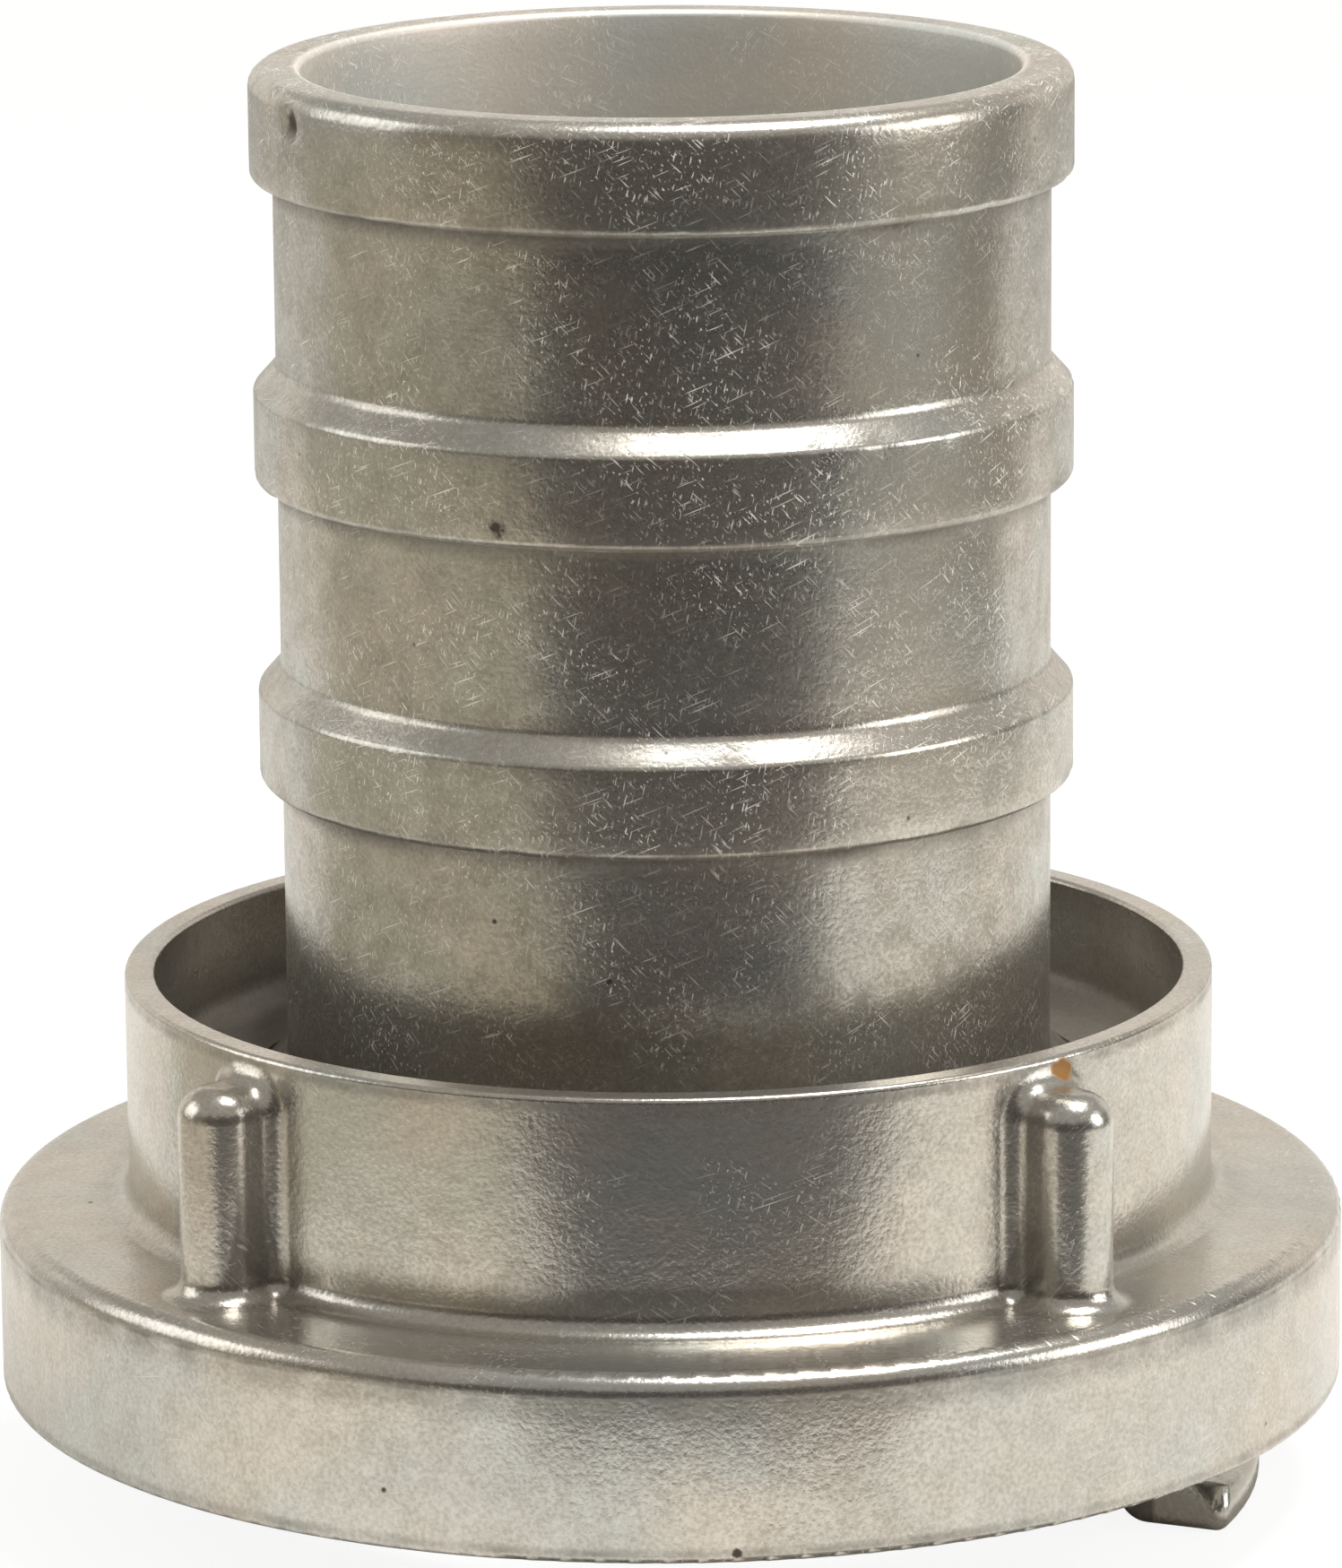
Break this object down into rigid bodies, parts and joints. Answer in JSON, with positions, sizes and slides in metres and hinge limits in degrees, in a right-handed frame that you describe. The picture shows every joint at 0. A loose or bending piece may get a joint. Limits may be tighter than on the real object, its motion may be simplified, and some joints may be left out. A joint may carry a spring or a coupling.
{
  "type": "quarter turn fire hose coupling",
  "caption": "Hooked-lug hose coupling half: ribbed hose tail in a swivelling lug ring with spanner ribs, entry slots, ramped raceway and rubber face seal",
  "frame": {"origin": "on the coupling's axis, in the mating plane that the flat face of the lug ring lies in", "axes": "+Z runs from the mating plane to the hose end; the two lugs lie on +X and -X and reach below the plane"},
  "size_m": [0.126, 0.126, 0.1346],
  "materials": {
    "tail_aluminium": "turned and tumbled, satin",
    "ring_aluminium": "forged and tumbled, satin",
    "rubber": "moulded, matt",
    "spring_steel": "drawn wire"
  },
  "bodies": {
    "tail": {"shank": "tail_aluminium", "seal": "rubber", "snap_ring": "spring_steel"},
    "ring": {"lug_ring": "ring_aluminium"}
  },
  "joints": [
    {"name": "ring_swivel", "type": "hinge", "parent": "tail", "child": "ring", "pos_m": [0, 0, 0.02355], "axis": [0, 0, 1], "continuous": true}
  ]
}
